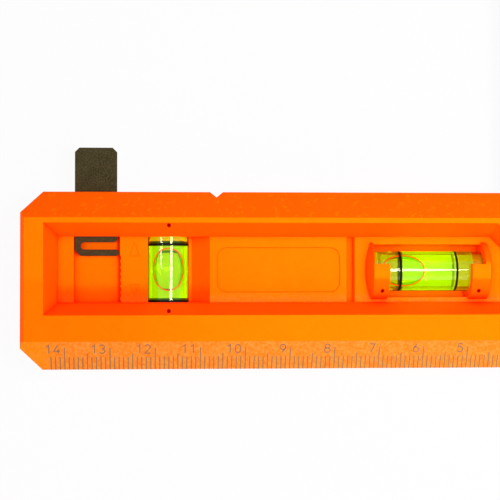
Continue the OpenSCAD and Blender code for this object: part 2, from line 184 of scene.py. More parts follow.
class Recipe(Tree):
    """A material in the making: its tree, its one Principled shader and the nodes that feed it."""

    def __init__(self, name: str) -> None:
        """Starts a material with a Principled shader and an output.

        Args:
            name: the material's name.
        """
        self.material = bpy.data.materials.new(name)
        self.material.use_nodes = True
        super().__init__(self.material.node_tree)
        self.shader = self.add("ShaderNodeBsdfPrincipled")
        self.output = self.add("ShaderNodeOutputMaterial", {}, {"Surface": self.shader.outputs[0]})

    def surface(self, **values: Feed) -> bpy.types.Material:
        """Sets the shader's sockets.

        Args:
            values: what each socket gets, by its name in lower case with underscores.

        Returns:
            The finished material.
        """
        names = {s.name.lower().replace(" ", "_"): s for s in self.shader.inputs}
        for name, value in values.items():
            self.feed(names[name], value)
        return self.material

    def millimetres(self, shift: Sequence[float] = (0, 0, 0), stretch: Sequence[float] = (1, 1, 1)) -> Sock:
        """Object coordinates in millimetres.

        Args:
            shift: what is added, in millimetres, after the stretch.
            stretch: a factor for each axis.

        Returns:
            The vector.
        """
        place = self.node("ShaderNodeTexCoord", out="Object")
        scale = [1.0 / MM * s for s in stretch]
        return self.node("ShaderNodeMapping", {}, {"Vector": place, "Location": shift, "Scale": scale})

    def parts(self, vector: Sock) -> tuple[Sock, Sock, Sock]:
        """The three numbers of a vector."""
        outs = self.add("ShaderNodeSeparateXYZ", {}, {0: vector}).outputs
        return Sock(self, outs[0]), Sock(self, outs[1]), Sock(self, outs[2])

    def noise(self, vector: Sock, size: float, detail: float = 2.0, rough: float = 0.5) -> Sock:
        """Noise from 0 to 1 with spots of a size, both the size and the vector in millimetres."""
        feeds = {"Vector": vector, "Scale": 1.0 / size, "Detail": detail, "Roughness": rough}
        return self.node("ShaderNodeTexNoise", {}, feeds, "Fac")

    def blend(self, mask: Sock, first: Feed, second: Feed) -> Sock:
        """A colour that goes from first to second as the mask goes from 0 to 1."""
        return self.node("ShaderNodeMix", {"data_type": "RGBA"}, {0: mask, 6: first, 7: second}, 2)

    def bump(self, height: Sock, depth_mm: float, under: Optional[Sock] = None) -> Sock:
        """A normal from a height.

        Args:
            height: the height, where 1 stands depth_mm over 0.
            depth_mm: what a height of 1 is worth.
            under: the normal that it is laid on.

        Returns:
            The bumped normal.
        """
        feeds: dict[Union[int, str], Feed] = {"Height": height, "Distance": depth_mm * MM, "Strength": 1.0}
        if under is not None:
            feeds["Normal"] = under
        return self.node("ShaderNodeBump", {}, feeds)

    def soft_edges(self, radius_mm: float, samples: int = 6) -> Sock:
        """The normal of a surface whose edges are rounded to a radius."""
        return self.node("ShaderNodeBevel", {"samples": samples}, {"Radius": radius_mm * MM})

    def openness(self, reach_mm: float, only_local: bool) -> Sock:
        """1 where a surface lies open, to 0 in a corner or hole, by its own solid only or by all of them."""
        settings = {"samples": 8, "only_local": only_local}
        return self.node("ShaderNodeAmbientOcclusion", settings, {"Distance": reach_mm * MM}, "AO")


# ---- Finishes ----
@dataclass(frozen=True)
class MouldedPlastic:
    """The stock's orange plastic, with a paler, frosted strip where the ruler is printed."""

    satin: Colour = (1.0, 0.312, 0.0012)
    satin_deep: Colour = (1.0, 0.204, 0.0004)
    # gloss is the darker tone that slopes get, partly painted shade
    gloss: Colour = (1.0, 0.158, 0.0004)
    frosted: Colour = (0.95, 0.355, 0.055)
    frosted_deep: Colour = (0.95, 0.225, 0.005)
    shaded: Colour = (1.0, 0.045, 0.0)
    # painted shade colours for corners, creases and holes, with a dimmer painted glow in the holes
    corner: Colour = (0.72, 0.02, 0.0)
    crease: Colour = (0.5, 0.01, 0.0)
    hole: Colour = (0.4, 0.002, 0.0)
    hole_glow: Colour = (0.6, 0.0, 0.0)
    # painted glow: the plastic and its ruler strip glow red though no lamp lights them
    glow: Colour = (1.0, 0.008, 0.0)
    frosted_glow: Colour = (0.5, 0.008, 0.002)
    # painted light on the groove's slopes
    groove_glow: Colour = (1.0, 0.2, 0.0)
    glow_strength: float = 0.36
    edge_mm: float = 0.3
    corner_mm: float = 3.0
    crease_mm: float = 1.5
    face_z: float = 14.0
    pad_z: float = 10.0
    split_z: float = 9.0
    groove_u: float = 75.4
    groove_z: float = 8.5
    # where the painted channel shadow lies
    ledge_end_u: float = 107.6
    ledge_end_v: float = 17.0
    # where the painted falloff shade lies
    dim_u: float = 118.0
    dim_v: float = 20.0
    worn_v: float = 16.4
    fence_v: float = 33.0
    frost_end_u: float = 143.0

    def make(self, origin_mm: Vector, frost_v: float) -> bpy.types.Material:
        """Builds the material.

        Args:
            origin_mm: where u and v start, in the row's millimetres.
            frost_v: how far the frosted strip reaches from the ruler edge.

        Returns:
            The material.
        """
        recipe = Recipe("moulded_orange")
        at = recipe.millimetres(shift=(-origin_mm.x, -origin_mm.y, 0.0))
        # across is -u, so it rises towards the blade
        across, v, z = recipe.parts(at)
        cloud = recipe.noise(at, 9.0, 3.0, 0.6)
        blotch = recipe.noise(at, 1.7, 3.0, 0.65)
        grain = recipe.noise(at, 0.55, 3.0, 0.6)
        speck = recipe.noise(at, 0.16, 1.0, 0.5)
        up = recipe.parts(recipe.node("ShaderNodeTexCoord", out="Normal"))[2]
        level = up.math("ABSOLUTE", up).above(0.96, 0.02)

        # slopes get the darker gloss tone and level faces the satin tone, partly a smoother moulded finish
        # and partly painted shade for how light falls on them; painted shade also darkens the faces by the
        # ledge, away from the blade
        # painted shade where the light falls off, towards the end away from the blade
        painted_falloff_shade = across.below(-self.dim_u, 18.0) * v.below(self.dim_v, 1.0) * z.above(16.0, 0.5)
        mottle = cloud * 0.3 + blotch * 0.35 + grain * 0.35 - painted_falloff_shade * 0.3
        plain = recipe.blend(level, self.gloss, recipe.blend(mottle, self.satin_deep, self.satin))
        worn = recipe.noise(at, 0.7, 4.0, 0.78).above(0.49, 0.12)
        worn = worn * z.near(self.pad_z, 0.3, 0.1) * v.below(self.worn_v, 0.9)
        fleck = recipe.noise(at, 1.3, 5.0, 0.7).above(0.6, 0.05)
        fleck = fleck * v.above(self.fence_v, 1.0) * z.above(self.face_z, 0.3)
        skin = recipe.blend(fleck * 0.4, recipe.blend(worn * 0.42, plain, self.frosted), self.satin)

        # painted shade: darker in corners, creases and holes, and a painted shadow at the foot of the pads
        # beside the ledge
        # the corner, crease and hole masks below place painted shade
        corner = recipe.openness(self.corner_mm, True).below(0.62, 0.36)
        near_open = recipe.openness(self.crease_mm, False)
        crease_shade_mask, hole = near_open.below(0.55, 0.3), near_open.below(0.28, 0.2)
        # painted shadow of the bottom wall across the foot of the pads and the channel beside the ledge
        channel_foot_shadow = v.below(self.ledge_end_v + blotch * 2.4, 1.5)
        channel_foot_shadow = channel_foot_shadow * across.below(-self.ledge_end_u, 0.15) * z.below(11.0, 0.3)
        skin = recipe.blend(channel_foot_shadow * 0.55, skin, self.shaded)
        # painted light in the groove: less painted corner and crease shade, and a yellower painted glow on
        # its slopes
        groove = across.near(-self.groove_u, 1.1, 0.15) * z.near(self.groove_z, 1.3, 0.15)
        groove_less_shade = 1.0 - groove * 0.4
        skin = recipe.blend(corner * groove_less_shade * 0.6, skin, self.corner)
        skin = recipe.blend(crease_shade_mask * groove_less_shade * 0.66, skin, self.crease)
        skin = recipe.blend(hole * 0.8, skin, self.hole)

        # the frosted strip under the ruler, plainer past the last mark
        on_rule = v.below(frost_v, 0.05) * z.above(self.face_z, 0.2)
        frost_grain = recipe.noise(at, 0.7, 4.0, 0.72).above(0.5, 0.16)
        frost = recipe.blend(frost_grain, self.frosted_deep, self.frosted)
        frost = recipe.blend(0.4 + across.above(-self.frost_end_u, 3.0) * 0.6, self.satin, frost)

        # painted glow, which keeps the shaded faces red
        glow = recipe.blend(on_rule, self.glow, self.frosted_glow)
        glow = recipe.blend(groove * (1.0 - level), glow, self.groove_glow)
        split = z.near(self.split_z, 0.05, 0.04)
        height = grain * 0.35 + speck * 0.4 + frost_grain * on_rule * 0.5 - split * 1.2
        return recipe.surface(
            base_color=recipe.blend(on_rule, skin, frost),
            roughness=0.44 + speck * 0.1 + on_rule * 0.08,
            specular_ior_level=0.06,
            specular_tint=(1.0, 0.4, 0.03),
            subsurface_weight=0.12,
            subsurface_radius=(1.0, 0.25, 0.05),
            subsurface_scale=1.2 * MM,
            emission_color=recipe.blend(hole, glow, self.hole_glow),
            emission_strength=self.glow_strength,
            normal=recipe.bump(height, 0.018, recipe.soft_edges(self.edge_mm)),
        )


@dataclass(frozen=True)
class ScaleInk:
    """Thin ink that the plastic shows through, or an etched line that is darker than its steel."""

    name: str
    full: Colour
    worn: Colour
    patch_mm: float = 0.35
    rough: float = 0.6

    def make(self) -> bpy.types.Material:
        """Builds the material.

        Returns:
            The material.
        """
        recipe = Recipe(self.name)
        at = recipe.millimetres()
        worn = recipe.noise(at, self.patch_mm, 3.0, 0.7).above(0.56, 0.12)
        grain = recipe.noise(at, 0.08, 1.0, 0.5)
        return recipe.surface(
            base_color=recipe.blend(worn, self.full, self.worn),
            roughness=self.rough + grain * 0.12,
            specular_ior_level=0.25,
            normal=recipe.bump(grain, 0.004),
        )


@dataclass(frozen=True)
class BrushedSteel:
    """Stainless sheet with a brushed grain along its length, or turned steel without one."""

    name: str
    bright: Colour = (0.62, 0.61, 0.59)
    dull: Colour = (0.5, 0.49, 0.475)
    along_y: bool = True
    rough: float = 0.27

    def make(self) -> bpy.types.Material:
        """Builds the material.

        Returns:
            The material.
        """
        recipe = Recipe(self.name)
        at = recipe.millimetres(stretch=(1.0, 0.02 if self.along_y else 1.0, 1.0))
        hair = recipe.noise(at, 0.12, 3.0, 0.65)
        streak = recipe.noise(at, 1.1, 2.0, 0.5)
        smudge = recipe.noise(recipe.millimetres(), 14.0, 3.0, 0.6)
        return recipe.surface(
            base_color=recipe.blend(hair * 0.5 + smudge * 0.5, self.dull, self.bright),
            metallic=1.0,
            roughness=self.rough - 0.08 + hair * 0.12 + smudge * 0.08,
            normal=recipe.bump(hair * 0.6 + streak * 0.4, 0.004, recipe.soft_edges(0.12, 4)),
        )


@dataclass(frozen=True)
class DarkSpringSteel:
    """Phosphated spring steel, dark olive with a fine speckle."""

    base: Colour = (0.027, 0.021, 0.005)
    light: Colour = (0.13, 0.103, 0.042)

    def make(self) -> bpy.types.Material:
        """Builds the material.

        Returns:
            The material.
        """
        recipe = Recipe("dark_spring_steel")
        at = recipe.millimetres()
        speck = recipe.noise(at, 0.2, 3.0, 0.75)
        cloud = recipe.noise(at, 3.5, 2.0, 0.5)
        return recipe.surface(
            base_color=recipe.blend(speck.above(0.55, 0.08) * 0.75 + cloud * 0.2, self.base, self.light),
            metallic=0.3,
            roughness=0.6 + speck * 0.18,
            specular_ior_level=0.15,
            normal=recipe.bump(speck, 0.008, recipe.soft_edges(0.1, 4)),
        )


@dataclass(frozen=True)
class Along:
    """Where a vial's parts lie, in the row's millimetres.

    The bands are places along the vial, each a middle and half a width, where a dark band is painted on the
    dye beside a ring, standing in for the ring's far side and its shadow, so the ring reads as one wide dark
    band.
    """

    axis: int
    middle: Point3
    bore: float
    wall: float
    liquid: Point2
    rings: Point2
    bands: tuple[Point2, ...]


@dataclass(frozen=True)
class ClearAcrylic:
    """The clear wall of a vial, painted where it is wet with the dye's colour, which stands in for the dye's
    light seen through it, and with a painted green glow along its sides.

    The liquid wets the bore, so that face isn't seen.
    """

    # painted colour of the dye's light on the wet wall
    beside: Colour = (0.86, 0.95, 0.0)
    solid: Colour = (0.82, 0.52, 0.0)
    solid_deep: Colour = (0.56, 0.34, 0.0)
    rim_glow: Colour = (0.05, 0.3, 0.0)
    rim_mm: float = 3.75

    def make(self, name: str, along: Along) -> bpy.types.Material:
        """Builds the material.

        Args:
            name: the material's name.
            along: where the vial's parts lie.

        Returns:
            The material.
        """
        recipe = Recipe(name)
        places, side = recipe.parts(recipe.millimetres()), 1 - along.axis
        here = places[along.axis]
        off, rise = (places[i] - along.middle[i] for i in (side, 2))
        low, high = along.liquid
        wet = here.above(low - 0.05, 0.08) * here.below(high + 0.05, 0.08)
        bore = here.math("SQRT", off * off + rise * rise).below((along.bore + along.wall) / 2.0, 0.02)
        bore = bore * here.above(low - 0.3, 0.02) * here.below(high + 0.3, 0.02)
        stretch = [1.0 if axis == along.axis else 0.03 for axis in range(3)]
        stripes = recipe.noise(recipe.millimetres(stretch=stretch), 0.4, 2.0, 0.6)
        dry = recipe.blend(stripes, self.solid_deep, self.solid)
        # painted glow along the wall's sides between the rings, kept off the painted ring bands
        rim = here.above(along.rings[0], 0.1) * here.below(along.rings[1], 0.1)
        rim = rim * (1.0 - places[side].near(along.middle[side], self.rim_mm, 0.18))
        for middle, half in along.bands:
            rim = rim * (1.0 - here.near(middle, half, 0.07))
        wave = recipe.noise(recipe.millimetres(), 2.6, 1.0, 0.4)
        return recipe.surface(
            base_color=recipe.blend(wet, dry, self.beside),
            roughness=0.012,
            ior=1.49,
            specular_tint=(0.6, 0.6, 0.5),
            transmission_weight=1.0,
            alpha=1.0 - bore,
            emission_color=recipe.blend(rim, BLACK, self.rim_glow),
            emission_strength=1.0,
            normal=recipe.bump(wave, 0.003),
        )


@dataclass(frozen=True)
class DyedLiquid:
    """The dyed liquid of a vial: see-through, and made bright by a painted glow though no lamp is in it."""

    tint: Colour
    deep_tint: Colour
    end_tint: Colour
    ring_shade: Colour = (0.012, 0.014, 0.0)
    glow: Colour = (0.05, 1.0, 0.0)
    end_glow: Colour = (0.25, 0.55, 0.0)
    glow_strength: float = 0.06

    def make(self, name: str, along: Along) -> bpy.types.Material:
        """Builds the material.

        Args:
            name: the material's name.
            along: where the rings lie, past which the dye looks darker.

        Returns:
            The material.
        """
        recipe = Recipe(name)
        at = recipe.millimetres()
        here = recipe.parts(at)[along.axis]
        past = here.below(along.rings[0], 0.2) + here.above(along.rings[1], 0.2)
        drift = recipe.noise(at, 4.0, 2.0, 0.5)
        tint = recipe.blend(drift * 0.5, self.tint, self.deep_tint)
        tint = recipe.blend(past * 0.85, tint, self.end_tint)
        # painted shadow: a dark band on the dye beside each ring, for the ring's far side and its shadow
        for middle, half in along.bands:
            tint = recipe.blend(here.near(middle, half, 0.07), tint, self.ring_shade)
        return recipe.surface(
            base_color=tint,
            roughness=0.03,
            ior=1.36,
            specular_ior_level=0.2,
            specular_tint=(1.0, 1.0, 0.1),
            transmission_weight=0.88,
            # painted glow, in a duller colour past the rings
            emission_color=recipe.blend(past, self.glow, self.end_glow),
            emission_strength=self.glow_strength,
        )


@dataclass(frozen=True)
class PlainMoulding:
    """A small part in one colour with a fine grain."""

    name: str
    first: Colour
    second: Colour
    rough: float = 0.4
    glow: Colour = BLACK
    glow_strength: float = 0.0
    shine: float = 0.4

    def make(self) -> bpy.types.Material:
        """Builds the material.

        Returns:
            The material.
        """
        recipe = Recipe(self.name)
        grain = recipe.noise(recipe.millimetres(), 0.3, 3.0, 0.6)
        return recipe.surface(
            base_color=recipe.blend(grain, self.first, self.second),
            roughness=self.rough + grain * 0.1,
            specular_ior_level=self.shine,
            emission_color=self.glow,
            emission_strength=self.glow_strength,
            normal=recipe.bump(grain, 0.004),
        )


# ---- Meshes ----
def new_piece(
    name: str, verts: Sequence[Sequence[float]], faces: Sequence[Sequence[int]]
) -> bpy.types.Object:
    """Makes an object from vertices and faces.

    Args:
        name: the piece's name.
        verts: its vertices, in metres.
        faces: its faces, as vertex numbers.

    Returns:
        The object, linked to the scene at the origin.
    """
    mesh = bpy.data.meshes.new(name)
    mesh.from_pydata([tuple(v) for v in verts], [], [tuple(f) for f in faces])
    mesh.validate()
    mesh.update()
    piece = bpy.data.objects.new(name, mesh)
    bpy.context.scene.collection.objects.link(piece)
    return piece


def finish_piece(
    piece: bpy.types.Object, material: bpy.types.Material, body: str, smooth: bool = False
) -> None:
    """Gives a piece its material and the body that it rides on.

    Args:
        piece: the piece.
        material: its finish.
        body: the CAD body that it moves with.
        smooth: whether its faces are shaded smooth.
    """
    piece.data.materials.clear()
    piece.data.materials.append(material)
    for face in piece.data.polygons:
        face.use_smooth = smooth
    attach(piece, body)
    LOG.info("%s: %d faces on %s", piece.name, len(piece.data.polygons), body)


def dress(node: bpy.types.Object, material: bpy.types.Material) -> None:
    """Gives a CAD node its material through its slots.

    Args:
        node: the node.
        material: its finish.
    """
    for slot in node.material_slots:
        slot.material = material
    LOG.info("%s: %s", node.name, material.name)


@dataclass
class Solid:
    """Vertices and faces that grow as shapes are added."""

    verts: list[Vector] = field(default_factory=list)
    faces: list[tuple[int, ...]] = field(default_factory=list)

    def add(self, verts: Sequence[Vector], faces: Sequence[Sequence[int]]) -> None:
        """Adds one shape.

        Args:
            verts: its vertices.
            faces: its faces, which count from its own first vertex.
        """
        start = len(self.verts)
        self.verts.extend(verts)
        self.faces.extend(tuple(i + start for i in face) for face in faces)

    def ribbon(self, path: Sequence[Point2], width: float, depth: Point2, closed: bool) -> None:
        """Adds a flat line of some width along a path, as a closed slab.

        Args:
            path: its middle line.
            width: its width.
            depth: the heights of its underside and its top.
            closed: whether the path ends where it starts.
        """
        points = [Vector(p) for p in path]
        count = len(points)
        low, high = depth
        verts: list[Vector] = []
        for i, here in enumerate(points):
            before = points[i - 1] if i or closed else here
            after = points[(i + 1) % count] if i < count - 1 or closed else here
            one = (here - before).normalized() if here != before else (after - here).normalized()
            two = (after - here).normalized() if after != here else one
            lean = (one + two).normalized()
            side = Vector((-lean.y, lean.x)) * (width / 2.0 / max(0.45, lean.dot(one)))
            left, right = here + side, here - side
            for corner, z in ((left, high), (right, high), (right, low), (left, low)):
                verts.append(Vector((corner.x, corner.y, z)))
        faces: list[tuple[int, ...]] = []
        for i in range(count if closed else count - 1):
            a, b = 4 * i, 4 * ((i + 1) % count)
            faces.extend((a + k, a + (k + 1) % 4, b + (k + 1) % 4, b + k) for k in range(4))
        if not closed:
            last = 4 * (count - 1)
            faces.extend(((3, 2, 1, 0), (last, last + 1, last + 2, last + 3)))
        self.add(verts, faces)

    def tube(self, path: Sequence[Vector], radius: float, sides: int = 8) -> None:
        """Adds a round tube along a closed path.

        Args:
            path: its middle line, as points in space.
            radius: its radius.
            sides: how many sides it has.
        """
        count = len(path)
        verts: list[Vector] = []
        for i, here in enumerate(path):
            along = (path[(i + 1) % count] - path[i - 1]).normalized()
            across = along.cross(Vector((0.0, 0.0, 1.0))).normalized()
            up = across.cross(along)
            for k in range(sides):
                turn = 2.0 * math.pi * k / sides
                verts.append(here + radius * (math.cos(turn) * across + math.sin(turn) * up))
        faces = [
            (i * sides + k, i * sides + (k + 1) % sides, j * sides + (k + 1) % sides, j * sides + k)
            for i in range(count)
            for j in ((i + 1) % count,)
            for k in range(sides)
        ]
        self.add(verts, faces)

    def piece(self, name: str, place: Matrix) -> bpy.types.Object:
        """Makes an object of the shapes, set in its place."""
        return new_piece(name, [place @ v for v in self.verts], self.faces)


def axes(x: Sequence[float], y: Sequence[float], at: Sequence[float]) -> Matrix:
    """A placing with millimetres as its unit.

    Args:
        x: the direction of its first axis.
        y: the direction of its second axis.
        at: its origin, in millimetres.

    Returns:
        The matrix, whose third axis is square to the other two.
    """
    one, two = Vector(x).normalized(), Vector(y).normalized()
    turn = Matrix((one, two, one.cross(two))).transposed().to_4x4()
    return Matrix.Translation(Vector(at) * MM) @ turn @ Matrix.Scale(MM, 4)


class Numerals:
    """Thin technical numerals, drawn as lines in a box one high."""

    WIDTH = 0.6
    ADVANCE = 0.76

    @staticmethod
    def bow(middle: Point2, rx: float, ry: float, start: float, end: float, steps: int = 12) -> list[Point2]:
        """Points on part of an oval with radii rx and ry, from a start to an end angle in degrees."""
        turns = [math.radians(start + (end - start) * i / steps) for i in range(steps + 1)]
        return [(middle[0] + rx * math.cos(t), middle[1] + ry * math.sin(t)) for t in turns]

    @classmethod
    def strokes(cls, digit: str) -> list[tuple[list[Point2], bool]]:
        """Draws a digit.

        Args:
            digit: the digit.

        Returns:
            Its lines, each with whether it is closed.
        """
        bow = cls.bow
        shapes = {
            "0": [(bow((0.3, 0.5), 0.26, 0.5, 0, 345, 23), True)],
            "1": [([(0.1, 0.76), (0.34, 1.0), (0.34, 0.0)], False)],
            "2": [(bow((0.29, 0.73), 0.25, 0.27, 165, -35) + [(0.04, 0.0), (0.56, 0.0)], False)],
            "3": [
                (bow((0.27, 0.755), 0.23, 0.245, 150, -90), False),
                (bow((0.27, 0.265), 0.27, 0.265, 90, -150), False),
            ],
            "4": [([(0.6, 0.26), (0.03, 0.26), (0.4, 1.0)], False), ([(0.43, 0.52), (0.43, 0.0)], False)],
            "5": [
                ([(0.52, 1.0), (0.12, 1.0), (0.08, 0.53)] + bow((0.28, 0.32), 0.27, 0.32, 118, -150), False),
            ],
            "6": [
                (bow((0.3, 0.31), 0.26, 0.31, 0, 345, 23), True),
                ([(0.05, 0.36), (0.12, 0.6), (0.4, 1.0)], False),
            ],
            "7": [([(0.04, 1.0), (0.56, 1.0), (0.22, 0.0)], False)],
            "8": [
                (bow((0.3, 0.76), 0.22, 0.24, 0, 345, 19), True),
                (bow((0.3, 0.265), 0.27, 0.265, 0, 345, 19), True),
            ],
            "9": [
                (bow((0.3, 0.69), 0.26, 0.31, 0, 345, 23), True),
                ([(0.55, 0.64), (0.48, 0.4), (0.2, 0.0)], False),
            ],
        }
        return shapes[digit]

    @classmethod
    def write(cls, solid: Solid, word: str, right: float, plan: ScalePlan) -> None:
        """Writes a number that ends at a right edge.

        Args:
            solid: what it is added to.
            word: the number.
            right: its right edge.
            plan: the scale that gives its foot, its height, its line and its depth.
        """
        high, line = plan.digit_high, plan.digit_line
        start = right - high * (cls.ADVANCE * (len(word) - 1) + cls.WIDTH)
        for place, digit in enumerate(word):
            x0 = start + place * cls.ADVANCE * high
            for path, closed in cls.strokes(digit):
                points = [(x0 + x * high, plan.digit_foot + line / 2.0 + y * (high - line)) for x, y in path]
                solid.ribbon(points, line, plan.depth, closed)


@dataclass(frozen=True)
class ScalePlan:
    """The marks and numbers of one ruler scale, in millimetres on its own plane."""

    name: str
    first: int
    last: int
    step: float
    lengths: Point3
    line: float
    depth: Point2
    digit_foot: float
    digit_high: float
    digit_line: float
    digit_gap: float


class MarkTree(Tree):
    """Geometry Nodes that repeat a ruler's marks, with longer ones at five and ten."""

    INPUTS = (
        ("NodeSocketInt", ("Count", "First")),
        ("NodeSocketFloat", ("Step", "Fine Length", "Half Length", "Whole Length")),
        ("NodeSocketFloat", ("Line Width", "Low", "High")),
        ("NodeSocketMaterial", ("Ink",)),
    )

    def __init__(self) -> None:
        """Builds the node group once, for all scales."""
        super().__init__(bpy.data.node_groups.new("ruler_marks", "GeometryNodeTree"))
        sockets = self.tree.interface
        self.keys: list[str] = []
        for kind, names in self.INPUTS:
            for name in names:
                self.keys.append(sockets.new_socket(name, in_out="INPUT", socket_type=kind).identifier)
        sockets.new_socket("Marks", in_out="OUTPUT", socket_type="NodeSocketGeometry")
        self._build()

    def _build(self) -> None:
        """Lays out the tree: a line of points, a bar on each, realised and given its ink."""
        given = {socket.name: Sock(self, socket) for socket in self.add("NodeGroupInput").outputs}
        number = self.node("GeometryNodeInputIndex") + given["First"]
        length = given["Fine Length"]
        for every, longer in ((5.0, given["Half Length"]), (10.0, given["Whole Length"])):
            rest = number.math("MODULO", number, every)
            length = length + rest.math("COMPARE", rest, 0.0) * (longer - length)
        start = self.node("ShaderNodeCombineXYZ", {}, {"X": given["First"] * given["Step"]})
        offset = self.node("ShaderNodeCombineXYZ", {}, {"X": given["Step"]})
        places = {"Count": given["Count"], "Start Location": start, "Offset": offset}
        line = self.node("GeometryNodeMeshLine", {"mode": "OFFSET"}, places)
        cube = self.node("GeometryNodeMeshCube", {}, {0: (1.0, 1.0, 1.0)})
        bar = self.node("GeometryNodeTransform", {}, {"Geometry": cube, "Translation": (0.0, 0.5, 0.5)})
        sides = {"X": given["Line Width"], "Y": length, "Z": given["High"] - given["Low"]}
        size = self.node("ShaderNodeCombineXYZ", {}, sides)
        spread = {"Points": line, "Instance": bar, "Scale": size}
        copies = self.node("GeometryNodeInstanceOnPoints", {}, spread)
        real = self.node("GeometryNodeRealizeInstances", {}, {"Geometry": copies})
        sunk = self.node("ShaderNodeCombineXYZ", {}, {"Z": given["Low"]})
        placed = self.node("GeometryNodeTransform", {}, {"Geometry": real, "Translation": sunk})
        inked = self.node("GeometryNodeSetMaterial", {}, {"Geometry": placed, "Material": given["Ink"]})
        self.add("NodeGroupOutput", {}, {0: inked})

    def marks(self, plan: ScalePlan, place: Matrix, ink: bpy.types.Material, body: str) -> None:
        """Makes one scale's marks as a piece.

        Args:
            plan: the scale.
            place: where its plane lies.
            ink: the finish of its lines.
            body: the body that it moves with.
        """
        holder = new_piece(plan.name + "_maker", [], [])
        modifier = holder.modifiers.new("marks", "NODES")
        modifier.node_group = self.tree
        count = plan.last - plan.first + 1
        values = (count, plan.first, plan.step, *plan.lengths, plan.line, *plan.depth, ink)
        for key, value in zip(self.keys, values):
            modifier[key] = value
        ready = holder.evaluated_get(bpy.context.evaluated_depsgraph_get())
        mesh = bpy.data.meshes.new_from_object(ready)
        mesh.transform(place)
        mesh.name = plan.name
        holder.modifiers.clear()
        bpy.data.objects.remove(holder)
        piece = bpy.data.objects.new(plan.name, mesh)
        bpy.context.scene.collection.objects.link(piece)
        finish_piece(piece, ink, body)

    def scale(self, plan: ScalePlan, place: Matrix, ink: bpy.types.Material, body: str) -> None:
        """Makes a whole scale: its marks, and its numbers of centimetres, each beside its mark.

        Args:
            plan: the scale.
            place: where its plane lies.
            ink: the finish of its lines and numbers.
            body: the body that it moves with.
        """
        self.marks(plan, place, ink, body)
        solid = Solid()
        for number in range(plan.first // 10 + 1, plan.last // 10 + 1):
            Numerals.write(solid, str(number), number * 10 * plan.step - plan.digit_gap, plan)
        finish_piece(solid.piece(plan.name + "_numbers", place), ink, body)


# ---- Sub-assemblies ----
@dataclass
class MouldedStock:
    """The orange stock with its printed ruler and its two raised arrows."""

    nodes: Mapping[str, bpy.types.Object]
    ruler_high: float = 6.25
    ruler_drop: float = 3.25
    first_mark: int = 5
    last_mark: int = 143
    pad_z: float = 10.0
    arrow_u: float = 124.7
    arrow_half: float = 1.08
    arrow_up: Point2 = (25.33, 28.5)
    arrow_down: Point2 = (18.93, 16.28)
    arrow_line: float = 0.16
    arrow_depth: Point2 = (-0.01, 0.05)
    plastic: bpy.types.Material = field(init=False)

    @property
    def origin(self) -> Vector:
        """Where u and v start, in the row's millimetres."""
        low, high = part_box("stock")
        return Vector((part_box("blade")[1].x / MM, low.y / MM, high.z / MM))

    def dress(self) -> None:
        """Gives the stock its plastic."""
        self.plastic = MouldedPlastic().make(self.origin, self.ruler_high)
        dress(self.nodes["stock"], self.plastic)

    def print_ruler(self, marks: MarkTree) -> None:
        """Prints the ruler on the slope along the ruler edge.

        Args:
            marks: the tree that repeats the marks.
        """
        ink = ScaleInk("ruler_ink", (0.36, 0.165, 0.08), (0.5, 0.21, 0.08)).make()
        slope = math.hypot(self.ruler_high, self.ruler_drop) / self.ruler_high
        foot = self.origin - Vector((0.0, 0.0, self.ruler_drop))
        plan = ScalePlan(
            name="ruler_marks", first=self.first_mark, last=self.last_mark, step=-1.0,
            lengths=(2.88 * slope, 3.61 * slope, 4.9 * slope), line=0.26, depth=(-0.01, 0.012),
            digit_foot=3.53 * slope, digit_high=2.13 * slope, digit_line=0.27, digit_gap=0.97,
        )
        marks.scale(plan, axes((1, 0, 0), (0, self.ruler_high, self.ruler_drop), foot), ink, "stock")

    def raise_arrows(self) -> None:
        """Adds the two raised triangles that show which way the ledge slides."""
        solid = Solid()
        for foot, tip in (self.arrow_up, self.arrow_down):
            corners = [(-self.arrow_half, foot), (self.arrow_half, foot), (0.0, tip)]
            path = [self._between(corners[i], corners[(i + 1) % 3], t) for i in range(3) for t in (0, 0.5)]
            solid.ribbon(path, self.arrow_line, self.arrow_depth, True)
        place = axes((1, 0, 0), (0, 1, 0), (self.origin.x - self.arrow_u, self.origin.y, self.pad_z))
        arrows = solid.piece("ledge_arrows", place)
        finish_piece(arrows, self.plastic, "stock")

    @staticmethod
    def _between(one: Point2, two: Point2, t: float) -> Point2:
        """The point at t of the way from one to two."""
        return one[0] + (two[0] - one[0]) * t, one[1] + (two[1] - one[1]) * t


class Face(Enum):
    """The side of the blade that a scale is etched on."""

    FRONT = 1
    BACK = -1


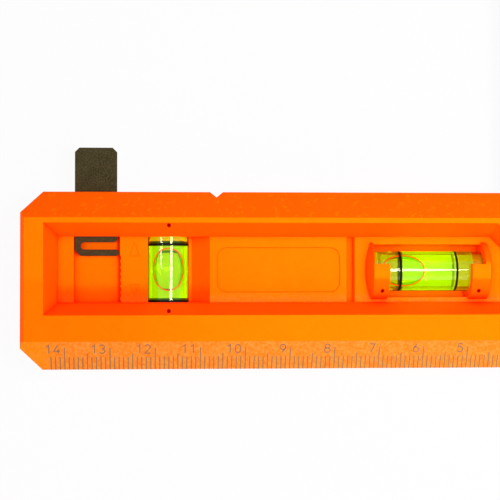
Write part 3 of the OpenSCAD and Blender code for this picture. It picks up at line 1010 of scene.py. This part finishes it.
@dataclass
class SteelBlade:
    """The steel blade with its rivets and its etched scales."""

    nodes: Mapping[str, bpy.types.Object]
    fence_v: float = 39.6
    outer_marks: tuple[int, int] = (41, 236)
    inner_marks: tuple[int, int] = (1, 196)
    lengths: Point3 = (3.0, 4.4, 6.2)

    def dress(self) -> None:
        """Gives the blade and its rivets their steel."""
        dress(self.nodes["blade"], BrushedSteel("brushed_blade").make())
        rivet = BrushedSteel("rivet_steel", (0.5, 0.48, 0.45), (0.36, 0.345, 0.32), False, 0.34).make()
        for number in (1, 2, 3):
            dress(self.nodes[f"blade_rivet_{number}"], rivet)

    def etch(self, marks: MarkTree) -> None:
        """Etches an outer and an inner scale on both faces of the blade.

        Args:
            marks: the tree that repeats the marks.
        """
        ink = ScaleInk("etched_line", (0.03, 0.03, 0.032), (0.07, 0.07, 0.072), 0.6, 0.5).make()
        low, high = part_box("blade")
        edge_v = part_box("stock")[0].y / MM
        scales = (
            ("outer", self.outer_marks, 1.0, high.x / MM, edge_v),
            ("inner", self.inner_marks, -1.0, low.x / MM, edge_v + self.fence_v),
        )
        for face in Face:
            z = (high.z if face is Face.FRONT else low.z) / MM
            for name, (first, last), way, x, y in scales:
                step = way * face.value
                plan = ScalePlan(
                    name=f"blade_{name}_{face.name.lower()}", first=first, last=last, step=step,
                    lengths=self.lengths, line=0.16, depth=(-0.008, 0.006),
                    digit_foot=4.9, digit_high=2.9, digit_line=0.3, digit_gap=0.8,
                )
                marks.scale(plan, axes((0, step, 0), (-way, 0, 0), (x, y, z)), ink, "stock")


@dataclass
class SlidingLedge:
    """The dark steel ledge that slides in the stock."""

    nodes: Mapping[str, bpy.types.Object]

    def dress(self) -> None:
        """Gives the ledge its dark finish."""
        dress(self.nodes["ledge"], DarkSpringSteel().make())


class Lie(Enum):
    """The way in which a vial lies."""

    LEVEL = "level"
    PLUMB = "plumb"


@dataclass
class SpiritVial:
    """One vial: clear tube, liquid, plug, two black rings and a painted line at the edge of its bubble.

    Each band, a painted shadow beside a ring, is the number of a ring, how far off it the band lies and half
    the band's width.
    """

    nodes: Mapping[str, bpy.types.Object]
    lie: Lie
    bubble_off: float
    rings: tuple[str, str]
    bands: tuple[tuple[int, float, float], ...]
    dye: DyedLiquid
    shared: Mapping[str, bpy.types.Material]
    bubble_long: float = 9.8
    bubble_deep: float = 2.9
    edge_r: float = 0.14
    edge_gap: float = 0.02
    edge_steps: int = 28

    @property
    def stem(self) -> str:
        """The start of the names of the vial's parts."""
        return f"{self.lie.value}_vial_"

    @property
    def axis(self) -> int:
        """The number of the axis that the vial lies along."""
        return 0 if self.lie is Lie.LEVEL else 1

    def along(self) -> Along:
        """Measures where the vial's parts lie.

        Returns:
            The places of the liquid, the rings and the bands that the rings' far sides darken.
        """
        axis = self.axis
        low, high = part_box(self.stem + "liquid")
        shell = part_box(self.stem + "tube")
        middle = (shell[0] + shell[1]) / (2.0 * MM)
        bore, wall = ((box[1][1 - axis] - box[0][1 - axis]) / (2.0 * MM) for box in ((low, high), shell))
        middles = []
        for ring in self.rings:
            one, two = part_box(self.stem + "ring_" + ring)
            middles.append((one[axis] + two[axis]) / (2.0 * MM))
        spans = (low[axis] / MM, high[axis] / MM), (min(middles), max(middles))
        bands = tuple((middles[ring] + off, half) for ring, off, half in self.bands)
        return Along(axis, tuple(middle), bore, wall, *spans, bands)

    def dress(self) -> None:
        """Gives the vial's CAD parts their finishes."""
        along = self.along()
        dress(self.nodes[self.stem + "tube"], ClearAcrylic().make(self.stem + "acrylic", along))
        dress(self.nodes[self.stem + "liquid"], self.dye.make(self.stem + "dye", along))
        dress(self.nodes[self.stem + "plug"], self.shared["plug"])
        for ring in self.rings:
            dress(self.nodes[self.stem + "ring_" + ring], self.shared["ring"])
        for part in ("tube", "liquid"):
            self.nodes[self.stem + part].visible_shadow = False

    def bubble_edge(self) -> None:
        """Adds the thin line where the bubble's skin, part of a ball, meets the bore, painted orange with a
        painted glow to stand in for the stock seen bent through that edge.
        """
        axis, side = self.axis, 1 - self.axis
        low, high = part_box(self.stem + "liquid")
        middle = (low + high) / (2.0 * MM)
        middle[axis] += self.bubble_off
        r = (high[side] - low[side]) / (2.0 * MM)
        ball = (self.bubble_long ** 2 / 4.0 + self.bubble_deep ** 2) / (2.0 * self.bubble_deep)
        lift = r + ball - self.bubble_deep
        ball -= self.edge_r / 2.0
        widest = math.acos((r * r + lift * lift - ball * ball) / (2.0 * r * lift))
        inside = r - self.edge_r - self.edge_gap
        path: list[Vector] = []
        for half in (1.0, -1.0):
            for i in range(self.edge_steps):
                turn = half * widest * math.cos(math.pi * i / self.edge_steps)
                reach = ball * ball - r * r - lift * lift + 2.0 * r * lift * math.cos(turn)
                spot = middle.copy()
                spot[axis] += half * math.sqrt(max(reach, 0.0))
                spot[side] += inside * math.sin(turn)
                spot.z += inside * math.cos(turn)
                path.append(spot * MM)
        solid = Solid()
        solid.tube(path, self.edge_r * MM)
        piece = solid.piece(f"{self.lie.value}_bubble_edge", Matrix.Identity(4))
        finish_piece(piece, self.shared["edge"], "stock", smooth=True)


# ---- Studio ----
@dataclass(frozen=True)
class Lamp:
    """A soft rectangular lamp."""

    name: str
    at: Point3
    towards: Point3
    size: Point2
    power: float
    spread: float = 120.0

    def hang(self) -> None:
        """Hangs the lamp and turns it to the place that it lights."""
        light = bpy.data.lights.new(self.name, "AREA")
        light.shape = "RECTANGLE"
        light.size, light.size_y = self.size
        light.energy = self.power
        light.spread = math.radians(self.spread)
        lamp = bpy.data.objects.new(self.name, light)
        way = Vector(self.towards) - Vector(self.at)
        lamp.matrix_world = Matrix.Translation(self.at) @ way.to_track_quat("-Z", "Y").to_matrix().to_4x4()
        bpy.context.scene.collection.objects.link(lamp)
        LOG.info("lamp %s: %.2f W", self.name, self.power)


@dataclass
class Studio:
    """Camera, lamps, pale floor and white surroundings."""

    RAYS = ("Is Camera Ray", "Is Glossy Ray", "Is Transmission Ray")

    camera_at: Point3 = (-46.172, -102.263, 337.887)
    camera_turn: Point3 = (0.027986, -0.068649, -0.001502)
    focal: float = 104.0
    ambient: float = 0.11
    floor_half: float = 3.0
    floor_drop: float = 0.00004
    floor_share: float = 0.95
    floor_pale: Colour = (0.9, 0.9, 0.9)
    floor_covered: Colour = (0.02, 0.004, 0.0)
    covered_inset: Point2 = (9.0, 5.0)
    lamps: tuple[Lamp, ...] = (
        Lamp("softbox", (0.042, -0.0885, 0.27), (0.05, -0.095, 0.0), (0.09, 0.058), 0.23),
        Lamp("front_fill", (0.16, -0.45, 0.27), (0.03, -0.1, 0.0), (0.6, 0.4), 0.52),
        Lamp("left_fill", (-0.42, -0.1, 0.08), (-0.07, -0.1, 0.01), (0.3, 0.14), 0.2),
        Lamp("left_glint", (-0.26, -0.085, 0.24), (-0.068, -0.1, 0.01), (0.014, 0.06), 0.022),
    )

    def build(self) -> None:
        """Sets everything up."""
        self._camera()
        for lamp in self.lamps:
            lamp.hang()
        self._floor()
        self._surroundings()
        bpy.context.scene.view_settings.view_transform = "Standard"

    def _camera(self) -> None:
        """Sets the camera where the photograph was taken from."""
        lens = bpy.data.cameras.new("photo_camera")
        lens.lens = self.focal
        lens.sensor_width = 36.0
        lens.clip_start = 0.01
        camera = bpy.data.objects.new("photo_camera", lens)
        camera.location = Vector(self.camera_at) * MM
        camera.rotation_euler = Euler(self.camera_turn, "XYZ")
        bpy.context.scene.collection.objects.link(camera)
        bpy.context.scene.camera = camera

    def _rays(self, tree: Tree) -> tuple[Sock, ...]:
        """1 for the camera's own rays, for those off metal or gloss, and for those through glass."""
        outs = tree.add("ShaderNodeLightPath").outputs
        return tuple(Sock(tree, outs[name]) for name in self.RAYS)

    def _floor(self) -> None:
        """Lays a pale floor that shows white and keeps a light shadow, with a painted shadow that makes it
        dark under the object.
        """
        low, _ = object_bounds()
        one, two = (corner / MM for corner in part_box("stock"))
        middle, reach = (one + two) / 2.0, (two - one) / 2.0
        half, level = self.floor_half, low[2] - self.floor_drop
        corners = [(x * half, y * half, level) for x, y in ((-1, -1), (1, -1), (1, 1), (-1, 1))]
        floor = new_piece("pale_floor", corners, [(0, 1, 2, 3)])

        recipe = Recipe("pale_floor")
        x, y, _ = recipe.parts(recipe.millimetres())
        # painted shadow: under the object the floor is dark in colour and shows unlit to camera and glossy
        # rays
        covered = x.near(middle.x, reach.x - self.covered_inset[0], 0.5)
        open_floor = 1.0 - covered * y.near(middle.y, reach.y - self.covered_inset[1], 0.5)
        camera, glossy, through = self._rays(recipe)
        seen = camera.math("MAXIMUM", camera.math("MAXIMUM", camera, glossy) * open_floor, through)
        shade = recipe.blend(open_floor, self.floor_covered, self.floor_pale)
        material = recipe.surface(base_color=shade, roughness=0.9, specular_ior_level=0.0)
        glow = recipe.node("ShaderNodeEmission", {}, {"Color": WHITE, "Strength": 1.0})
        layers = {0: seen * self.floor_share, 1: recipe.shader.outputs[0], 2: glow}
        recipe.feed(recipe.output.inputs["Surface"], recipe.node("ShaderNodeMixShader", {}, layers))
        floor.data.materials.append(material)
        floor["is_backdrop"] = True

    def _surroundings(self) -> None:
        """Gives the world a soft even light that is seen as white, also in metal and through glass."""
        world = bpy.data.worlds.new("studio")
        bpy.context.scene.world = world
        world.use_nodes = True
        tree = Tree(world.node_tree)
        camera, glossy, through = self._rays(tree)
        seen = camera.math("MAXIMUM", camera, glossy.math("MAXIMUM", glossy, through))
        soft, white = (
            tree.node("ShaderNodeBackground", {}, {"Color": WHITE, "Strength": strength})
            for strength in (self.ambient, 1.0)
        )
        mix = tree.node("ShaderNodeMixShader", {}, {0: seen, 1: soft, 2: white})
        tree.add("ShaderNodeOutputWorld", {}, {"Surface": mix})


def vial_finishes() -> dict[str, bpy.types.Material]:
    """Builds the finishes that both vials share.

    Returns:
        The materials, by part.
    """
    finishes = {
        "plug": PlainMoulding("vial_plug", (0.4, 0.3, 0.0), (0.7, 0.5, 0.0)),
        "ring": PlainMoulding("ring_ink", (0.003, 0.003, 0.002), (0.009, 0.008, 0.005), 0.5, shine=0.08),
        # painted line for the bubble's edge: orange for the stock seen bent through it, with a painted glow
        "edge": PlainMoulding(
            "bubble_edge", (0.7, 0.05, 0.0), (0.95, 0.09, 0.0), glow=(1.0, 0.05, 0.0), glow_strength=0.3,
            shine=0.1,
        ),
    }
    return {part: finish.make() for part, finish in finishes.items()}


def main() -> None:
    """Loads the frame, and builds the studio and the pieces."""
    logging.basicConfig(level=logging.INFO, format="%(name)s: %(message)s")
    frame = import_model()
    nodes = frame["nodes"]
    Studio().build()
    marks = MarkTree()

    stock = MouldedStock(nodes)
    stock.dress()
    stock.print_ruler(marks)
    stock.raise_arrows()

    blade = SteelBlade(nodes)
    blade.dress()
    blade.etch(marks)

    SlidingLedge(nodes).dress()

    finishes = vial_finishes()
    level_dye = DyedLiquid((0.54, 0.9, 0.0), (0.48, 0.77, 0.0), (0.58, 0.48, 0.0))
    plumb_dye = DyedLiquid((0.52, 0.8, 0.0), (0.46, 0.68, 0.0), (0.95, 0.42, 0.0))
    level_bands = ((0, 0.18, 0.5),)
    plumb_bands = ((0, 0.3, 0.5), (1, 0.12, 0.56))
    for vial in (
        SpiritVial(nodes, Lie.LEVEL, -5.4, ("left", "right"), level_bands, level_dye, finishes),
        SpiritVial(nodes, Lie.PLUMB, 1.25, ("top", "bottom"), plumb_bands, plumb_dye, finishes),
    ):
        vial.dress()
        vial.bubble_edge()


if __name__ == "__main__":
    main()
